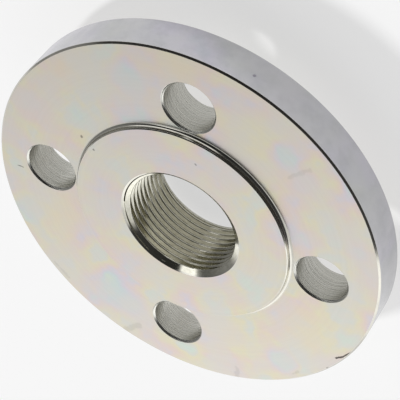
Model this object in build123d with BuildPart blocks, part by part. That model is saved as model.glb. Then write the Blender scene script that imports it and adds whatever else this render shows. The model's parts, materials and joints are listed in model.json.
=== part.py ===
"""Threaded pipe flange: a round plate with a raised sealing face, a short hub and a threaded bore.

The flange is one forging, turned and drilled. It stands on the end of its hub: the origin is the
centre of the hub's end, and +Z runs along the bore to the raised face. The bolt holes straddle the
X and Y axes, as they do on a flange that is set square to its pipe. Lengths are in millimetres.
"""

import os
from math import isclose

from build123d import *

# Plate, which carries the bolt holes
flange_diameter = 140
plate_thickness = 14
plate_edge_chamfer = 0.6

# Raised face, which presses on the gasket
raised_face_diameter = 78
raised_face_height = 2
raised_face_root_fillet = 1.2
raised_face_edge_chamfer = 0.3

# Hub, which gives the thread its length behind the plate
hub_diameter = 60
hub_height = 10
hub_root_fillet = 6
hub_end_chamfer = 1

# Bolt holes, each with a little room round its bolt
bolt_circle_diameter = 100
bolt_count = 4
bolt_diameter = 16
bolt_clearance = 2
bolt_hole_front_chamfer = 0.65
bolt_hole_back_chamfer = 1

# Parallel pipe thread of nominal size 1 1/4; its rounded 55 degree form gives the depth.
# The bore is plain at the thread's inner diameter, which is where the turns' crests lie.
thread_major_diameter = 41.910
threads_per_inch = 11
thread_depth_in_pitches = 0.640327
thread_mouth_relief = 0.85

# The angles between opposite sides of the countersinks
thread_front_mouth_angle = 120
thread_back_mouth_angle = 90
bolt_hole_mouth_angle = 90

# Edges nearer to a stated place than this are taken to be there
same_place = 1e-4

millimetres_per_inch = 25.4
thread_pitch = millimetres_per_inch / threads_per_inch
thread_minor_diameter = thread_major_diameter - 2 * thread_depth_in_pitches * thread_pitch
thread_mouth_diameter = thread_major_diameter + 2 * thread_mouth_relief
bolt_hole_diameter = bolt_diameter + bolt_clearance
plate_back = hub_height
plate_front = plate_back + plate_thickness
overall_height = plate_front + raised_face_height

# The plane that the hub's end lies on, looked at from below
downwards = Plane(origin=(0, 0, 0), x_dir=(1, 0, 0), z_dir=(0, 0, -1))


def ring(part, diameter, height):
    """The circular edge of this diameter round the Z axis at this height."""
    circles = part.edges().filter_by(GeomType.CIRCLE)
    level = circles.filter_by_position(Axis.Z, height - same_place, height + same_place)
    return level.filter_by(lambda edge: isclose(edge.radius, diameter / 2, abs_tol=same_place))


with BuildPart() as flange:
    # The forging: hub, plate and raised face on one axis
    with BuildSketch():
        Circle(hub_diameter / 2)
    extrude(amount=hub_height)
    with BuildSketch(Plane.XY.offset(plate_back)):
        Circle(flange_diameter / 2)
    extrude(amount=plate_thickness)
    with BuildSketch(Plane.XY.offset(plate_front)):
        Circle(raised_face_diameter / 2)
    extrude(amount=raised_face_height)

    # Inner corners keep the radius of the turning tool, and outer corners are broken
    fillet(ring(flange, hub_diameter, plate_back), hub_root_fillet)
    fillet(ring(flange, raised_face_diameter, plate_front), raised_face_root_fillet)
    chamfer(ring(flange, hub_diameter, 0), hub_end_chamfer)
    chamfer(ring(flange, raised_face_diameter, overall_height), raised_face_edge_chamfer)
    for face_height in (plate_back, plate_front):
        chamfer(ring(flange, flange_diameter, face_height), plate_edge_chamfer)

    # Bore at the thread's inner diameter, countersunk at both ends past its outer diameter
    front_end = Plane.XY.offset(overall_height)
    for end, angle in ((front_end, thread_front_mouth_angle), (downwards, thread_back_mouth_angle)):
        with Locations(end):
            CounterSinkHole(
                thread_minor_diameter / 2,
                thread_mouth_diameter / 2,
                counter_sink_angle=angle,
            )

    # Bolt holes, countersunk from both sides of the plate
    front_side = Plane.XY.offset(plate_front)
    back_side = downwards.offset(-plate_back)
    for side, edge_break in ((front_side, bolt_hole_front_chamfer), (back_side, bolt_hole_back_chamfer)):
        with Locations(side):
            with PolarLocations(bolt_circle_diameter / 2, bolt_count, start_angle=180 / bolt_count):
                CounterSinkHole(
                    bolt_hole_diameter / 2,
                    bolt_hole_diameter / 2 + edge_break,
                    counter_sink_angle=bolt_hole_mouth_angle,
                )

flange.part.label = "threaded_flange"

os.makedirs("parts", exist_ok=True)
export_step(flange.part, "parts/threaded_flange.step")
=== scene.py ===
# %% [markdown]
# # A zinc-plated threaded pipe flange
# The real thing is one steel forging. It is turned on a lathe, drilled with four bolt holes, tapped with a
# pipe thread and then plated with zinc, which is sealed in a bath that leaves a faint rainbow on it.
# This lesson builds its visible surface as numbers: every stretch of it is a grid of points worked out by a
# short formula, and all the grids are welded into one closed mesh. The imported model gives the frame, the
# place and the main sizes, so the first step is to load it and to note its box.

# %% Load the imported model
import json
import math

import bpy
import numpy as np
from mathutils import Matrix, Vector


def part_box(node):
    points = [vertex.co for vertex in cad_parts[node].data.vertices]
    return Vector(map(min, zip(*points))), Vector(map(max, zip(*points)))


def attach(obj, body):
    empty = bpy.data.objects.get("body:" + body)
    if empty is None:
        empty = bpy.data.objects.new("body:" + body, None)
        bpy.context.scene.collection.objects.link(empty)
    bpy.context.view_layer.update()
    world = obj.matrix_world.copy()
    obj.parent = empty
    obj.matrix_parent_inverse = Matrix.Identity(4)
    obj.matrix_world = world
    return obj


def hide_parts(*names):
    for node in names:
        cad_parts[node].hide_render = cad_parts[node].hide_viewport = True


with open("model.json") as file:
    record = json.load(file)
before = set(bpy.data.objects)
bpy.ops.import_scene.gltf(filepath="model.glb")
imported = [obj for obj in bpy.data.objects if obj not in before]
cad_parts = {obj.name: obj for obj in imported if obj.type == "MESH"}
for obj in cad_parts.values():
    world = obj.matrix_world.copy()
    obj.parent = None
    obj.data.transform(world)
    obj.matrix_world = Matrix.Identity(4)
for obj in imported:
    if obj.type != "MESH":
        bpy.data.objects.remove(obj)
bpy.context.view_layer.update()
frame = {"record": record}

NODE = "threaded_flange"

# %% [markdown]
# ## Sizes
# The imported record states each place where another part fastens, so the bore, the bolt holes and the faces
# are read from there. What it doesn't state, such as the small chamfers, is written here as on a workshop
# drawing. The formulas work in millimetres, and the last step of the mesh turns them into metres.

# %% Sizes in millimetres
METRE = 0.001
mounts = {mount["name"]: mount for mount in frame["record"]["mounts"]}
low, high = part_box(NODE)

rim_radius = high[0] / METRE
height = high[2] / METRE
back_z = mounts["bolting_face"]["pos_m"][2] / METRE
bolt_circle = mounts["bolt_holes"]["dims"]["pcd_mm"] / 2
bolt_count = mounts["bolt_holes"]["dims"]["count"]
hole_radius = mounts["bolt_holes"]["dims"]["hole_r_mm"]
crest_radius = mounts["pipe_thread"]["dims"]["r_mm"]
mouth_radius = 41.910 / 2 + 0.85
FRONT_CONE = math.tan(math.radians(30))
BACK_CONE = 1.0

raised_height = 2.0
raised_radius = 39.0
raised_root = 1.2
raised_edge = 0.3
plate_z = height - raised_height
rim_chamfer = 0.6
hub_radius = 30.0
hub_root = 6.0
hub_chamfer = 1.0
hole_front_chamfer = 0.65
hole_back_chamfer = 1.0
print("flange", 2 * rim_radius, "x", height, "mm, bore", round(2 * crest_radius, 3), "mm")

# %% [markdown]
# ## A section with rounded corners
# No edge of a real part is perfectly sharp: a tiny radius catches the light as a thin bright or dark line.
# So each section is a run of straight lines whose corners are replaced by arcs. Because lines and arcs meet
# without a kink, every point has one clear normal, which is kept for the shading later on.

# %% Rounded section
STEPS_PER_ARC = 4


def rounded_section(corners, radii):
    """Points and normals along straight runs with rounded corners, for a section with metal on its right.

    At a corner that turns by t, the arc of radius r begins r tan(t/2) before the corner. The normal, which is
    the direction of travel turned a quarter to the left, swings evenly from one run's to the next one's, and
    each point of the arc lies at its centre plus r times the normal, or minus where the corner is hollow.
    """
    corners = np.array(corners, float)
    runs = np.diff(corners, axis=0)
    runs /= np.linalg.norm(runs, axis=1)[:, None]
    normals = np.stack([-runs[:, 1], runs[:, 0]], axis=1)
    points_out, normals_out = [corners[:1]], [normals[:1]]
    for corner, run, normal, next_run, radius in zip(corners[1:-1], runs, normals, runs[1:], radii):
        turn = math.atan2(run[0] * next_run[1] - run[1] * next_run[0], run @ next_run)
        start = corner - run * radius * math.tan(abs(turn) / 2)
        side = -math.copysign(1.0, turn)
        centre = start - side * radius * normal
        angles = turn * np.linspace(0, 1, STEPS_PER_ARC + 1)[:, None]
        across = np.array([-normal[1], normal[0]])
        swung = np.cos(angles) * normal + np.sin(angles) * across
        points_out.append(centre + side * radius * swung)
        normals_out.append(swung)
    points_out.append(corners[-1:])
    normals_out.append(normals[-1:])
    return np.concatenate(points_out), np.concatenate(normals_out)


# %% [markdown]
# ## The store of patches
# Every patch is a grid of points with one normal per point. The store below collects them and remembers
# which finish each one has. A grid turns into four-sided faces by joining each point to its neighbours along
# both of its directions, and which way round the corners are listed decides where the face looks.

# %% Patch store
FINISHES = ["turned_face", "turned_rim", "cut_edge", "cut_thread", "drilled_wall"]
patches = []


def add_patch(points, normals, finish):
    """Stores a grid of shape (rows, columns, 3) as faces that look along its normals."""
    rows, columns = points.shape[:2]
    index = np.arange(rows * columns).reshape(rows, columns)
    quads = np.stack([index[:-1, :-1], index[1:, :-1], index[1:, 1:], index[:-1, 1:]], axis=-1).reshape(-1, 4)
    flat = points.reshape(-1, 3)
    diagonal = flat[quads[:, 2]] - flat[quads[:, 0]]
    other = flat[quads[:, 3]] - flat[quads[:, 1]]
    facing = np.einsum("ij,ij->i", np.cross(diagonal, other), normals.reshape(-1, 3)[quads[:, 0]])
    if facing.sum() < 0:
        quads = quads[:, ::-1]
    patches.append((flat, normals.reshape(-1, 3), quads, FINISHES.index(finish)))


# %% [markdown]
# ## Turned surfaces
# A lathe sweeps a section round the axis, and so does this function. The raised face with its step, the rim
# and the hub are three such sections. The flat stretches that carry the bolt holes are left out here.

# %% Turn a section
DIVISIONS = 288
SECTOR = DIVISIONS // bolt_count // 2
EDGE = 0.1
turn_angles = 2 * np.pi * np.arange(DIVISIONS + 1) / DIVISIONS


def carried_round(section, angles):
    """A section of radii and heights carried round the axis: x = r cos(a), y = r sin(a), z stays."""
    around = np.stack([np.cos(angles), np.sin(angles)], axis=-1)[None]
    return np.concatenate([section[:, None, :1] * around, np.repeat(section[:, None, 1:], len(angles), 1)], -1)


def turned(section, stretches):
    """Turns a section; each stretch is the number of its last point and the finish up to there."""
    place, facing = (carried_round(values, turn_angles) for values in section)
    first = 0
    for last, finish in stretches:
        add_patch(place[first : last + 1], facing[first : last + 1], finish)
        first = last


front_inner = raised_radius + raised_root + 0.02
back_inner = hub_radius + hub_root + 0.4
outer_edge = rim_radius - 1.0
thread_top = height - 0.3
thread_bottom = 0.3

front_section = rounded_section(
    [
        (mouth_radius - (height - thread_top) / FRONT_CONE, thread_top),
        (mouth_radius, height),
        (raised_radius - raised_edge, height),
        (raised_radius, height - raised_edge),
        (raised_radius, plate_z),
        (front_inner, plate_z),
    ],
    [EDGE, EDGE, EDGE, raised_root],
)
turned(front_section, [(5, "cut_edge"), (6, "turned_face"), (20, "cut_edge"), (21, "turned_face")])
rim_section = rounded_section(
    [
        (outer_edge, plate_z),
        (rim_radius - rim_chamfer, plate_z),
        (rim_radius, plate_z - rim_chamfer),
        (rim_radius, back_z + rim_chamfer),
        (rim_radius - rim_chamfer, back_z),
        (outer_edge, back_z),
    ],
    [EDGE, EDGE, EDGE, EDGE],
)
turned(rim_section, [(1, "turned_face"), (10, "cut_edge"), (11, "turned_rim"), (20, "cut_edge"), (21, "turned_face")])
hub_section = rounded_section(
    [
        (back_inner, back_z),
        (hub_radius, back_z),
        (hub_radius, hub_chamfer),
        (hub_radius - hub_chamfer, 0),
        (mouth_radius, 0),
        (mouth_radius - thread_bottom / BACK_CONE, thread_bottom),
    ],
    [hub_root, EDGE, EDGE, EDGE],
)
turned(hub_section, [(11, "turned_face"), (21, "cut_edge")])
print("turned sections:", [len(section[0]) for section in (front_section, rim_section, hub_section)], "points")

# %% [markdown]
# ## Flat faces with holes
# Each side of the plate is a flat ring with four round holes. Beside a hole the ring is cut into a block that
# spans an eighth of the circle, and its grid runs along straight lines from the hole's edge to the block's
# outline. Between two such blocks a plain polar grid fills the rest. Both use the same points on the lines
# where they meet, so the weld closes them.

# %% Flat rings with holes
RING_STEPS = 14
HOLE_LAYERS = np.array([0, 0.06, 0.2, 0.45, 1.0])
hole_turns = np.radians(45) + 2 * np.pi * np.arange(bolt_count) / bolt_count
block_angles = turn_angles[: SECTOR + 1] - turn_angles[SECTOR // 2]


def block_outline(inner, outer):
    """The closed outline of a block round the X axis: inner arc, side, outer arc and side, as x and y."""
    radii = np.linspace(inner, outer, RING_STEPS + 1)[1:-1]
    first, last = block_angles[0], block_angles[-1]
    angle = np.concatenate([block_angles, np.full(len(radii), last), block_angles[::-1], np.full(len(radii), first)])
    radius = np.concatenate(
        [np.full(SECTOR + 1, inner), radii, np.full(SECTOR + 1, outer), radii[::-1]]
    )
    closed = np.stack([radius * np.cos(angle), radius * np.sin(angle)], axis=-1)
    return np.concatenate([closed, closed[:1]])


front_outline = block_outline(front_inner, outer_edge)
hole_centre = np.array([bolt_circle, 0.0])
toward = front_outline - hole_centre
hole_directions = toward / np.linalg.norm(toward, axis=1)[:, None]


def spin(points, angle):
    """Turns points about the bore's axis."""
    cos, sin = math.cos(angle), math.sin(angle)
    return points @ np.array([[cos, sin, 0], [-sin, cos, 0], [0, 0, 1]])


def holed_ring(z, inner, mouth, facing_z):
    """Blocks with holes of radius mouth, and plain blocks between them, at height z."""
    outline = block_outline(inner, outer_edge)
    circle = hole_centre + mouth * hole_directions
    flat = circle[None] + HOLE_LAYERS[:, None, None] * (outline - circle)[None]
    block = np.concatenate([flat, np.full(flat.shape[:2] + (1,), z)], axis=-1)
    radii = np.linspace(inner, outer_edge, RING_STEPS + 1)[:, None]
    angles = (block_angles + 2 * block_angles[-1])[None]
    plain = np.stack([radii * np.cos(angles), radii * np.sin(angles), np.full((len(radii), SECTOR + 1), z)], -1)
    for turn in hole_turns:
        for grid in (block, plain):
            placed = spin(grid, turn)
            add_patch(placed, np.broadcast_to([0.0, 0.0, facing_z], placed.shape), "turned_face")


# %% [markdown]
# ## Bolt holes
# A drill leaves a plain wall with a small countersink at both ends. The section of the wall is a rounded
# section too, measured from the hole's own axis, and it is carried round that axis through the very
# directions that the flat blocks use.

# %% Hole walls
hole_section, hole_section_normals = rounded_section(
    [
        (hole_radius + hole_back_chamfer + 0.1, back_z),
        (hole_radius + hole_back_chamfer, back_z),
        (hole_radius, back_z + hole_back_chamfer),
        (hole_radius, plate_z - hole_front_chamfer),
        (hole_radius + hole_front_chamfer, plate_z),
        (hole_radius + hole_front_chamfer + 0.05, plate_z),
    ],
    [EDGE, EDGE, EDGE, EDGE],
)
holed_ring(plate_z, front_inner, hole_section[-1, 0], 1.0)
holed_ring(back_z, back_inner, hole_section[0, 0], -1.0)

wall_xy = hole_centre + hole_section[:, None, :1] * hole_directions[None]
wall_z = np.repeat(hole_section[:, None, 1:], len(hole_directions), 1)
wall = np.concatenate([wall_xy, wall_z], axis=-1)
wall_facing = np.concatenate(
    [hole_section_normals[:, None, :1] * hole_directions[None], np.repeat(hole_section_normals[:, None, 1:], len(hole_directions), 1)], -1
)
for turn in hole_turns:
    add_patch(spin(wall, turn), spin(wall_facing, turn), "drilled_wall")
print("hole walls:", bolt_count, "of", len(hole_section), "by", len(hole_directions), "points")

# %% [markdown]
# ## The pipe thread
# A pipe thread of this size has eleven turns to the inch. Its section is a zigzag of 55 degrees with rounded
# crests and roots, and the zigzag climbs one pitch per turn round the bore, to the right. The rows of the grid
# follow the climb, so that every crest is a clean line of points. At both ends the cone of the countersink
# is wider than the thread, and there the wider of the two radii is what the tools left.

# %% Thread grid
PITCH = 25.4 / 11
FLANK = math.radians(27.5)
ROUNDING = 0.137329 * PITCH
THREAD_DEPTH = 0.640327 * PITCH
THREAD_START = 0.6
ARC_REACH = ROUNDING * math.cos(FLANK) / PITCH
ROW_PHASES = np.array([0, 0.37, 0.71, 1]) * ARC_REACH
ROOT_PHASES = 0.5 + np.array([-1, -0.5, 0, 0.5, 1]) * ARC_REACH


def thread_depth(phase):
    """Depth below the crest and its slope along the axis, for a phase of 0 at a crest and 0.5 at a root.

    From the crest the surface follows a circle, r - sqrt(r^2 - d^2) at distance d, then a straight flank, and
    then the same circle again, turned over, into the root.
    """
    side = np.where(phase < 0.5, 1.0, -1.0)
    away = np.minimum(phase, 1 - phase) * PITCH
    reach = ARC_REACH * PITCH
    left = PITCH / 2 - away
    crest_root = np.sqrt(np.maximum(ROUNDING**2 - np.minimum(away, reach) ** 2, 0))
    root_root = np.sqrt(np.maximum(ROUNDING**2 - np.minimum(left, reach) ** 2, 0))
    flank = ROUNDING * (1 - math.sin(FLANK)) + (away - reach) / math.tan(FLANK)
    crest = ROUNDING - crest_root
    root = THREAD_DEPTH - (ROUNDING - root_root)
    depth = np.where(away < reach, crest, np.where(left < reach, root, flank))
    slope = np.where(away < reach, away / crest_root, np.where(left < reach, left / root_root, 1 / math.tan(FLANK)))
    return depth, side * slope


turn_rows = np.concatenate([ROW_PHASES, ROOT_PHASES, 1 - ROW_PHASES[:0:-1]])
turns_needed = math.ceil(height / PITCH) + 1
rise = (np.arange(-1, turns_needed)[:, None] + turn_rows[None]).reshape(-1) * PITCH
theta = turn_angles[None]
z = np.clip(rise[:, None] + THREAD_START + PITCH * theta / (2 * np.pi), thread_bottom, thread_top)
phase = np.mod((z - THREAD_START) / PITCH - theta / (2 * np.pi), 1.0)
depth, slope = thread_depth(phase)
cut = crest_radius + depth
cone = np.maximum(mouth_radius - (height - z) / FRONT_CONE, mouth_radius - z / BACK_CONE)
cone_slope = np.where(z > height / 2, 1 / FRONT_CONE, -1 / BACK_CONE)
in_cone = cone >= cut
radius = np.where(in_cone, cone, cut)
climb = np.where(in_cone, cone_slope, slope)
swing = np.where(in_cone, 0.0, -slope * PITCH / (2 * np.pi)) / radius
cos, sin = np.cos(theta), np.sin(theta)
thread_points = np.stack([radius * cos, radius * sin, z], axis=-1)
thread_normals = np.stack([-cos - swing * sin, -sin + swing * cos, climb], axis=-1)
thread_normals /= np.linalg.norm(thread_normals, axis=-1)[..., None]
add_patch(thread_points, thread_normals, "cut_thread")
print("thread:", len(rise), "rows,", round((thread_top - thread_bottom) / PITCH, 1), "turns")

# %% [markdown]
# ## Weld and build the mesh
# Points of different patches that lie in the same place become one point. Faces that lost a corner turn into
# triangles, and those that lost two are dropped. A closed surface has two faces on each edge, which is counted
# here as proof. The normals that each formula gave are handed to the mesh, so that flat faces shade flat and
# every rounded corner shades round.

# %% Weld
WELD = 1e-5
offsets = np.cumsum([0] + [len(points) for points, *_ in patches])
all_points = np.concatenate([points for points, *_ in patches])
all_normals = np.concatenate([normals for _, normals, *_ in patches])
all_quads = np.concatenate([quads + start for (_, _, quads, _), start in zip(patches, offsets)])
all_finishes = np.concatenate([np.full(len(quads), finish) for _, _, quads, finish in patches])

keys = np.round(all_points / WELD).astype(np.int64)
_, first, welded = np.unique(keys, axis=0, return_index=True, return_inverse=True)
quads = welded.reshape(-1)[all_quads]
repeats = quads == np.roll(quads, 1, axis=1)
whole = ~repeats.any(axis=1)
three = (repeats.sum(axis=1) == 1) & (quads[:, 0] != quads[:, 2]) & (quads[:, 1] != quads[:, 3])
triangles = quads[three][~repeats[three]].reshape(-1, 3)
folded = (quads[:, 0] == quads[:, 2]) | (quads[:, 1] == quads[:, 3])
faces = quads[whole & ~folded].tolist() + triangles.tolist()
finish_of_face = np.concatenate([all_finishes[whole & ~folded], all_finishes[three]])
vertices = all_points[first]
vertex_normals = all_normals[first]

# %% Mesh
mesh = bpy.data.meshes.new("flange_surface")
mesh.from_pydata((vertices * METRE).tolist(), [], faces)
mesh.polygons.foreach_set("use_smooth", np.ones(len(faces), bool))
mesh.polygons.foreach_set("material_index", finish_of_face.astype(np.int32))
mesh.update()
mesh.normals_split_custom_set_from_vertices(vertex_normals.tolist())
flange = bpy.data.objects.new("plated_flange", mesh)
bpy.context.scene.collection.objects.link(flange)

loops = np.empty(len(mesh.loops), np.int32)
mesh.loops.foreach_get("edge_index", loops)
faces_per_edge = np.bincount(loops, minlength=len(mesh.edges))
mesh.calc_loop_triangles()
corners = np.empty(len(mesh.loop_triangles) * 3, np.int32)
mesh.loop_triangles.foreach_get("vertices", corners)
a, b, c = (vertices[corners.reshape(-1, 3)[:, k]] for k in range(3))
volume = np.einsum("ij,ij->i", a, np.cross(b, c)).sum() / 6
print("triangles:", len(mesh.loop_triangles), "edges without two faces:", int((faces_per_edge != 2).sum()))
print("volume, cubic centimetres:", round(volume / 1000, 2))

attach(flange, "root")
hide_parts(NODE)

# %% [markdown]
# ## Shader sums
# A finish is a sum of patterns, and a sum is easiest to read as one. So a small class stands for one output of
# a node, and the usual signs between two of them, or between one and a number, add the Math node that does it.

# %% Shader sums
class Signal:
    """One output of a shader node, with arithmetic that adds Math nodes."""

    def __init__(self, desk, socket):
        self.desk = desk
        self.socket = socket

    def math(self, operation, *values):
        return self.desk.node("ShaderNodeMath", {"operation": operation}, dict(enumerate(values)))

    def __add__(self, other):
        return self.math("ADD", self, other)

    def __radd__(self, other):
        return self.math("ADD", other, self)

    def __sub__(self, other):
        return self.math("SUBTRACT", self, other)

    def __rsub__(self, other):
        return self.math("SUBTRACT", other, self)

    def __mul__(self, other):
        return self.math("MULTIPLY", self, other)

    def __rmul__(self, other):
        return self.math("MULTIPLY", other, self)

    def __truediv__(self, other):
        return self.math("DIVIDE", self, other)

    def __pow__(self, other):
        return self.math("POWER", self, other)

    def ramp_up(self, low, high):
        """0 below low, 1 above high, and an S-shaped rise between them."""
        return self.desk.node(
            "ShaderNodeMapRange",
            {"interpolation_type": "SMOOTHSTEP"},
            {"Value": self, "From Min": low, "From Max": high},
        )

    def parts(self):
        """The X, Y and Z of a vector."""
        return [self.desk.node("ShaderNodeSeparateXYZ", {}, {0: self}, output) for output in range(3)]

    def scaled(self, factor):
        """A vector times a number."""
        return self.desk.node("ShaderNodeVectorMath", {"operation": "SCALE"}, {0: self, "Scale": factor})


class Desk:
    """The node tree of one material or world, and the one method that adds nodes to it."""

    def __init__(self, tree):
        self.tree = tree

    def node(self, kind, settings, sockets, output=0):
        """Adds a node: settings first, then values or links of its sockets; gives one output as a Signal."""
        added = self.tree.nodes.new(kind)
        for name, value in settings.items():
            if name == "stops":
                fill_ramp(added.color_ramp, value)
            else:
                setattr(added, name, value)
        for name, value in sockets.items():
            if isinstance(value, Signal):
                self.tree.links.new(value.socket, added.inputs[name])
            else:
                added.inputs[name].default_value = value
        return Signal(self, added.outputs[output])

    def blend(self, mask, first, second):
        """A colour that is first where the mask is 0 and second where it is 1."""
        return self.node("ShaderNodeMix", {"data_type": "RGBA"}, {0: mask, 6: first, 7: second}, 2)


def fill_ramp(ramp, stops):
    """Gives a colour ramp one stop for each pair of place and colour."""
    while len(ramp.elements) < len(stops):
        ramp.elements.new(1.0)
    for element, (place, colour) in zip(ramp.elements, stops):
        element.position = place
        element.color = colour


def linear(red, green, blue):
    """A colour written as on a screen, 0 to 255, as the linear numbers that a shader takes."""
    screen = np.array([red, green, blue]) / 255
    light = np.where(screen < 0.04045, screen / 12.92, ((screen + 0.055) / 1.055) ** 2.4)
    return (*light.tolist(), 1.0)

# %% [markdown]
# ## The plating's colours
# The sealing bath leaves a clear film on the zinc, less than a thousandth of a millimetre thick. Light that is
# thrown back at its top and at its bottom adds up for some colours and cancels for others, so the metal looks
# straw yellow, pink, lavender or green where the film is thinner or thicker. Here slow noise stands for the
# thickness, and a ramp of those colours, which repeats as the real row does, turns it into the base colour.
# Object coordinates are in metres, so they are first made millimetres.

# %% Film colours
FACE_FILM = [
    (0.00, linear(206, 207, 198)),
    (0.14, linear(215, 209, 180)),
    (0.30, linear(216, 203, 185)),
    (0.44, linear(215, 199, 193)),
    (0.58, linear(206, 199, 207)),
    (0.72, linear(195, 206, 207)),
    (0.86, linear(200, 211, 200)),
    (1.00, linear(206, 207, 198)),
]
FACE_PLAIN = linear(208, 205, 199)
FILM_PATCHES = [
    ((17.0, -49.0, 24.0), 17.0, 0.13),
    ((64.0, -6.0, 24.0), 13.0, 0.27),
    ((48.0, -42.0, 24.0), 12.0, 0.22),
    ((-1.0, -55.0, 24.0), 9.0, 0.56),
    ((9.0, -57.0, 24.0), 8.0, 0.84),
    ((52.0, -22.0, 24.0), 10.0, 0.78),
    ((19.0, 47.0, 24.0), 14.0, 0.20),
    ((-20.0, 50.0, 24.0), 12.0, 0.72),
    ((-45.0, 17.0, 24.0), 12.0, 0.27),
    ((-52.0, -14.0, 24.0), 14.0, 0.22),
    ((-61.0, 4.0, 24.0), 9.0, 0.86),
    ((31.5, -11.0, 26.0), 9.0, 0.48),
    ((58.0, 25.0, 24.0), 11.0, 0.50),
]
MILLIMETRES = 1000.0


def place_in_millimetres(desk):
    """Object coordinates, in millimetres."""
    return desk.node("ShaderNodeTexCoord", {}, {}, 3).scaled(MILLIMETRES)


def noise(desk, place, size, detail=2.0, roughness=0.5, seed=0.0):
    """Soft noise from 0 to 1 in space whose lumps are about this size; the seed picks another stretch of it."""
    values = {"Vector": place, "W": seed, "Scale": 1 / size, "Detail": detail, "Roughness": roughness}
    return desk.node("ShaderNodeTexNoise", {"noise_dimensions": "4D"}, values)


def line_noise(desk, along, size, detail=3.0):
    """Noise from 0 to 1 that changes with one number alone, so it draws lines."""
    values = {"W": along, "Scale": 1 / size, "Detail": detail}
    return desk.node("ShaderNodeTexNoise", {"noise_dimensions": "1D"}, values)


def grooves(desk, along, pitch, seed_line):
    """Heights from 0 to 1 of cut grooves: (1 + sin(2 pi (along + wander) / pitch)) / 2."""
    wander = line_noise(desk, along, seed_line, 2.0) * (3 * pitch)
    angle = (along + wander) * (2 * math.pi / pitch)
    return angle.math("SINE", angle) * 0.5 + 0.5


def film_colour(desk, place, stops, plain, seed, turns, thinnest, lumps, stated=()):
    """The ramp's colour at the film's thickness, which fades to the plain colour in other places.

    The thickness is thinnest + turns * noise; near each stated place it moves to the value given there.
    """
    thickness = noise(desk, place, lumps, 3.0, 0.5, seed) * turns + thinnest
    edge = wobbled(desk, place, 4.0, 9.0)
    for centre, size, value in stated:
        away = desk.node("ShaderNodeVectorMath", {"operation": "DISTANCE"}, {0: edge, 1: centre}, 1)
        thickness = thickness + (value - thickness) * (1 - away.ramp_up(size * 0.3, size)) * 0.85
    colour = desk.node("ShaderNodeValToRGB", {"stops": stops}, {0: thickness.math("WRAP", thickness, 1.0, 0.0)})
    strength = noise(desk, place, 14.0, 3.0, 0.6, seed + 7.0).ramp_up(0.3, 0.7)
    return desk.blend(strength * 0.8 + 0.15, plain, colour)


def finish_material(name):
    """A new material with its shader and its desk."""
    material = bpy.data.materials.new(name)
    material.use_nodes = True
    desk = Desk(material.node_tree)
    shader = material.node_tree.nodes["Principled BSDF"]
    shader.inputs["Metallic"].default_value = 1.0
    mesh.materials.append(material)
    return desk, shader


def connect(desk, shader, colour, roughness, height, depth):
    """Feeds the shader: base colour, roughness, and a bump of this depth in millimetres at a height of 1."""
    desk.tree.links.new(colour.socket, shader.inputs["Base Color"])
    desk.tree.links.new(roughness.socket, shader.inputs["Roughness"])
    bump = desk.node("ShaderNodeBump", {}, {"Height": height, "Distance": depth / MILLIMETRES, "Strength": 1.0})
    desk.tree.links.new(bump.socket, shader.inputs["Normal"])


# %% [markdown]
# ## Marks
# The photographed flange has been handled: a few dark specks, faint smears and a scuffed stretch of the edge.
# A speck is the space within a distance of a point, and a scratch the space near a line between two points.

# %% Marks on the face
SPECKS = [
    ((40.9, 12.7, 24.0), 0.7),
    ((35.8, 9.7, 26.0), 0.5),
    ((17.9, -24.5, 26.0), 0.45),
    ((-2.0, 39.7, 24.5), 0.5),
]
SCUFFS = [
    ((-65.4, -18.1, 24.0), (-65.6, -20.9, 24.0), 0.55),
    ((-65.6, -20.9, 24.0), (-64.4, -26.9, 24.0), 0.35),
    ((-68.4, -11.6, 24.0), (-68.6, -12.6, 24.0), 0.4),
    ((41.0, 48.5, 24.0), (39.5, 47.0, 24.0), 0.25),
]
SMEARS = [
    ((-59.7, 25.6, 24.0), (-63.3, 28.8, 24.0), 1.1),
    ((-67.2, 3.8, 24.0), (-67.0, 1.5, 24.0), 0.7),
    ((2.2, 67.8, 24.0), (-5.7, 67.0, 24.0), 0.8),
    ((-32.4, 61.6, 24.0), (-32.2, 52.9, 24.0), 1.6),
    ((2.0, -52.4, 24.0), (2.0, -61.0, 24.0), 1.2),
]


def near_line(desk, place, start, end, width):
    """1 on the line from start to end, falling to 0 at this distance from it.

    The nearest point of the line is at the share s of the way, where s is (place - start) . (end - start)
    divided by the line's length squared, kept between 0 and 1.
    """
    along = Vector(end) - Vector(start)
    offset = desk.node("ShaderNodeVectorMath", {"operation": "SUBTRACT"}, {0: place, 1: start})
    reach = desk.node("ShaderNodeVectorMath", {"operation": "DOT_PRODUCT"}, {0: offset, 1: along}, 1)
    share = desk.node("ShaderNodeClamp", {}, {0: reach / along.length_squared})
    nearest = desk.node("ShaderNodeVectorMath", {"operation": "SCALE"}, {0: tuple(along), "Scale": share})
    distance = desk.node("ShaderNodeVectorMath", {"operation": "DISTANCE"}, {0: offset, 1: nearest}, 1)
    return 1 - distance.ramp_up(width * 0.4, width)


def any_of(masks):
    """The largest of several masks."""
    largest = masks[0]
    for mask in masks[1:]:
        largest = largest.math("MAXIMUM", largest, mask)
    return largest


def wobbled(desk, place, reach, size):
    """The place moved by noise, up to about this reach, so that marks get ragged outlines."""
    values = {"Vector": place, "Scale": 1 / size, "Detail": 2.0}
    colour = desk.node("ShaderNodeTexNoise", {"noise_dimensions": "3D"}, values, 1)
    centred = desk.node("ShaderNodeVectorMath", {"operation": "SUBTRACT"}, {0: colour, 1: (0.5, 0.5, 0.5)})
    return desk.node("ShaderNodeVectorMath", {"operation": "ADD"}, {0: place, 1: centred.scaled(2 * reach)})


# %% [markdown]
# ## Finish of the turned faces
# A lathe tool leaves a groove too fine to count, and rings where it chattered or where the feed changed. Rings
# are lines of noise across the radius. They change how dull the metal is more than how it bends the light.

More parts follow.
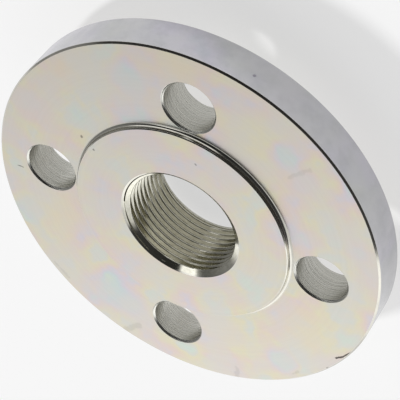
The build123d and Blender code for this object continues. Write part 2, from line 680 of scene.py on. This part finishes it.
# %% Turned faces
desk, shader = finish_material("turned_face")
place = place_in_millimetres(desk)
x, y, z = place.parts()
radius = (x * x + y * y) ** 0.5
rings = line_noise(desk, radius, 1.1)
fine_rings = line_noise(desk, radius, 0.35, 1.0)
colour = film_colour(desk, place, FACE_FILM, FACE_PLAIN, 3.0, 2.6, -1.0, 15.0, FILM_PATCHES)
colour = desk.blend(rings.ramp_up(0.25, 0.8) * 0.05, colour, linear(178, 172, 160))
ragged = wobbled(desk, place, 0.35, 0.8)
patchy = wobbled(desk, place, 1.3, 2.2)
smears = any_of([near_line(desk, patchy, start, end, width) for start, end, width in SMEARS])
colour = desk.blend(smears * 0.17, colour, linear(150, 150, 140))
scuffs = any_of([near_line(desk, ragged, start, end, width) for start, end, width in SCUFFS])
specks = any_of([near_line(desk, ragged, point, (point[0] + 0.2, *point[1:]), size) for point, size in SPECKS])
colour = desk.blend(any_of([scuffs * 0.85, specks * 0.6]), colour, linear(45, 40, 36))
roughness = 0.26 + rings * 0.06 + smears * 0.05 + scuffs * 0.2
connect(desk, shader, colour, roughness, rings * 0.3 + fine_rings * 0.7, 0.005)

# %% [markdown]
# ## Finish of the rim
# The rim was turned with a coarser feed and looks greyer, with a lavender cast.

# %% Turned rim
RIM_FILM = [
    (0.00, linear(197, 197, 201)),
    (0.25, linear(200, 197, 208)),
    (0.50, linear(190, 197, 206)),
    (0.75, linear(198, 199, 196)),
    (1.00, linear(197, 197, 201)),
]
desk, shader = finish_material("turned_rim")
place = place_in_millimetres(desk)
x, y, z = place.parts()
feed = line_noise(desk, z, 0.5)
colour = film_colour(desk, place, RIM_FILM, linear(199, 198, 201), 1.0, 2.0, 0.0, 20.0)
blotches = noise(desk, place, 7.0, 3.0, 0.6, 5.0)
colour = desk.blend(blotches.ramp_up(0.35, 0.75) * 0.3, colour, linear(160, 162, 164))
dot = near_line(desk, place, (34.5, -60.9, 18.5), (34.6, -60.9, 18.7), 0.7)
colour = desk.blend(dot * 0.5, colour, linear(90, 80, 105))
roughness = 0.16 + feed * 0.05 + blotches * 0.06
connect(desk, shader, colour, roughness, grooves(desk, z, 0.3, 1.3), 0.005)

# %% [markdown]
# ## Finish of the broken edges
# The chamfers and the step of the raised face come from a sharp form tool, and are smoother than the faces.
# So they mirror the dark room as crisp black lines where the face beside them is pale.

# %% Cut edges
desk, shader = finish_material("cut_edge")
place = place_in_millimetres(desk)
cloud = noise(desk, place, 5.0, 2.0, 0.5, 2.0)
colour = desk.blend(cloud.ramp_up(0.3, 0.7), linear(206, 204, 194), linear(196, 194, 186))
connect(desk, shader, colour, 0.1 + cloud * 0.05, cloud, 0.01)

# %% [markdown]
# ## Finish of the thread and of the drilled walls
# The tap leaves a smooth, bright flank, and the plating bath reaches the bore last, so it is a little yellower.
# A drill turns as it goes down, so its marks are rings one above the other, a little tilted.

# %% Cut thread
desk, shader = finish_material("cut_thread")
place = place_in_millimetres(desk)
x, y, z = place.parts()
scratches = noise(desk, desk.node("ShaderNodeVectorMath", {"operation": "MULTIPLY"}, {0: place, 1: (1, 1, 6)}), 1.5)
colour = desk.blend(scratches.ramp_up(0.3, 0.7), linear(214, 212, 200), linear(200, 198, 184))
roughness = 0.07 + scratches * 0.05
connect(desk, shader, colour, roughness, scratches, 0.004)

# %% Drilled walls
desk, shader = finish_material("drilled_wall")
place = place_in_millimetres(desk)
x, y, z = place.parts()
along_drill = z + x * 0.05 + y * 0.03
drill_rings = line_noise(desk, along_drill, 0.55, 4.0)
drill_grooves = grooves(desk, along_drill, 0.3, 0.9)
colour = desk.blend(drill_rings.ramp_up(0.3, 0.7), linear(194, 194, 187), linear(214, 213, 206))
roughness = 0.22 + drill_rings * 0.1
connect(desk, shader, colour, roughness, drill_rings * 0.3 + drill_grooves * 0.7, 0.035)
print("finishes:", [material.name for material in mesh.materials])

# %% [markdown]
# ## Floor
# The part lies on plain pale paper. In the photograph the ground is pure white, so for the camera most of the
# paper's light is a plain white glow, and the rest is the paper itself, which keeps the shadow.

# %% Floor
FLOOR_HALF = 3.0


def seen_directly_or_mirrored(desk):
    """1 for what the camera sees, be it straight, in metal or through glass, and 0 for light that falls on it."""
    camera_ray, glossy_ray, transmission_ray = (
        desk.node("ShaderNodeLightPath", {}, {}, output)
        for output in ("Is Camera Ray", "Is Glossy Ray", "Is Transmission Ray")
    )
    either = camera_ray.math("MAXIMUM", camera_ray, glossy_ray)
    return either.math("MAXIMUM", either, transmission_ray)


PAPER_GLOW = 0.6
floor_mesh = bpy.data.meshes.new("floor")
floor_corners = [(-FLOOR_HALF, -FLOOR_HALF, 0), (FLOOR_HALF, -FLOOR_HALF, 0)]
floor_corners += [(FLOOR_HALF, FLOOR_HALF, 0), (-FLOOR_HALF, FLOOR_HALF, 0)]
floor_mesh.from_pydata(floor_corners, [], [(0, 1, 2, 3)])
floor = bpy.data.objects.new("floor", floor_mesh)
bpy.context.scene.collection.objects.link(floor)
paper = bpy.data.materials.new("studio_paper")
paper.use_nodes = True
desk = Desk(paper.node_tree)
paper_shader = paper.node_tree.nodes["Principled BSDF"]
paper_shader.inputs["Base Color"].default_value = (0.9, 0.9, 0.9, 1)
paper_shader.inputs["Roughness"].default_value = 0.9
paper_shader.inputs["Specular IOR Level"].default_value = 0.0
paper_look = Signal(desk, paper_shader.outputs[0])
glow = desk.node("ShaderNodeEmission", {}, {"Color": (1, 1, 1, 1), "Strength": 1.0})
looked_at = seen_directly_or_mirrored(desk)
mixed = desk.node("ShaderNodeMixShader", {}, {0: looked_at * PAPER_GLOW, 1: paper_look, 2: glow})
desk.tree.links.new(mixed.socket, paper.node_tree.nodes["Material Output"].inputs["Surface"])
floor_mesh.materials.append(paper)

# %% [markdown]
# ## Camera
# The camera stands where the photographer's did: a long lens, well above the part and turned on its side.

# %% Camera
CAMERA_AZIMUTH = math.radians(21.869)
CAMERA_ELEVATION = math.radians(39.457)
CAMERA_ROLL = math.radians(-142.549)
CAMERA_DISTANCE = 0.53548
CAMERA_AIM = Vector((0.005248, -0.01357, 0.024))
SENSOR = 36.0
LENS = 150.953

horizontal = math.cos(CAMERA_ELEVATION)
to_camera = Vector(
    (
        math.sin(CAMERA_AZIMUTH) * horizontal,
        -math.cos(CAMERA_AZIMUTH) * horizontal,
        math.sin(CAMERA_ELEVATION),
    )
)
camera_data = bpy.data.cameras.new("camera")
camera_data.lens = LENS
camera_data.sensor_width = SENSOR
camera_data.clip_start = 0.01
camera_data.clip_end = 20.0
camera = bpy.data.objects.new("camera", camera_data)
bpy.context.scene.collection.objects.link(camera)
upright = to_camera.to_track_quat("Z", "Y").to_matrix()
turned_camera = (upright @ Matrix.Rotation(CAMERA_ROLL, 3, "Z")).to_4x4()
camera.matrix_world = Matrix.Translation(CAMERA_AIM + CAMERA_DISTANCE * to_camera) @ turned_camera
bpy.context.scene.camera = camera

# %% [markdown]
# ## Light
# Bare metal shows nothing but the room round it, so the room is half of the finish. This one is a white tent
# that is open towards the photographer, where the room is dark, and dimmer overhead. On one side it has a
# curtain and a small high window. Its brightness depends on the direction alone and is the same for every kind
# of ray. A soft lamp from behind the part leaves the shadow in front of it, and metal doesn't mirror that lamp.

# %% Light
ROOM_TURN = CAMERA_AZIMUTH - math.pi / 2
world = bpy.data.worlds.new("studio")
bpy.context.scene.world = world
world.use_nodes = True
desk = Desk(world.node_tree)
direction = desk.node("ShaderNodeTexCoord", {}, {})
x, y, z = direction.parts()
elevation = z.math("ARCSINE", z) * (180 / math.pi)
# Degrees round from the camera's side, from -180 to 180
towards = x * math.cos(ROOM_TURN) + y * math.sin(ROOM_TURN)
sideways = y * math.cos(ROOM_TURN) - x * math.sin(ROOM_TURN)
round_from_camera = sideways.math("ARCTAN2", sideways, towards) * (180 / math.pi)
narrow = round_from_camera.ramp_up(-98, -90) * (1 - round_from_camera.ramp_up(8, 16))
wide = round_from_camera.ramp_up(-98, -90) * (1 - round_from_camera.ramp_up(92, 106)) * elevation.ramp_up(16, 24)
opening = narrow.math("MAXIMUM", narrow, wide) * (1 - elevation.ramp_up(60, 68))
curtain_sides = round_from_camera.ramp_up(85, 100) * (1 - round_from_camera.ramp_up(145, 160))
curtain = curtain_sides * elevation.ramp_up(-2, 4) * (1 - elevation.ramp_up(50, 57))
overhead = elevation.ramp_up(54, 61) * towards.ramp_up(-0.24, -0.08)
high_window = round_from_camera.ramp_up(82, 88) * (1 - round_from_camera.ramp_up(108, 116))
high_window = high_window * elevation.ramp_up(54, 58) * (1 - elevation.ramp_up(67, 70))
falloff = 1.33 - elevation.ramp_up(26, 50) * 0.6
one_sided = 1 + (0.22 - sideways.ramp_up(-0.3, 0.3) * 0.44) * elevation.ramp_up(0, 25)
room = falloff * one_sided * (1 - opening * 0.96) * (1 - curtain * 0.75) * (1 - overhead * 0.95)
brightness = room + high_window * 1.5
background = world.node_tree.nodes["Background"]
background.inputs["Color"].default_value = (1, 1, 1, 1)
desk.tree.links.new(brightness.socket, background.inputs["Strength"])

lamp_data = bpy.data.lights.new("window", "SUN")
lamp_data.energy = 2.4
lamp_data.angle = math.radians(8)
lamp = bpy.data.objects.new("window", lamp_data)
lamp.visible_glossy = False
bpy.context.scene.collection.objects.link(lamp)
LAMP_TURN = math.radians(92)
LAMP_ELEVATION = math.radians(40)
to_lamp = Vector(
    (
        math.cos(LAMP_TURN) * math.cos(LAMP_ELEVATION),
        math.sin(LAMP_TURN) * math.cos(LAMP_ELEVATION),
        math.sin(LAMP_ELEVATION),
    )
)
lamp.matrix_world = to_lamp.to_track_quat("Z", "Y").to_matrix().to_4x4()

bpy.context.scene.view_settings.view_transform = "Standard"
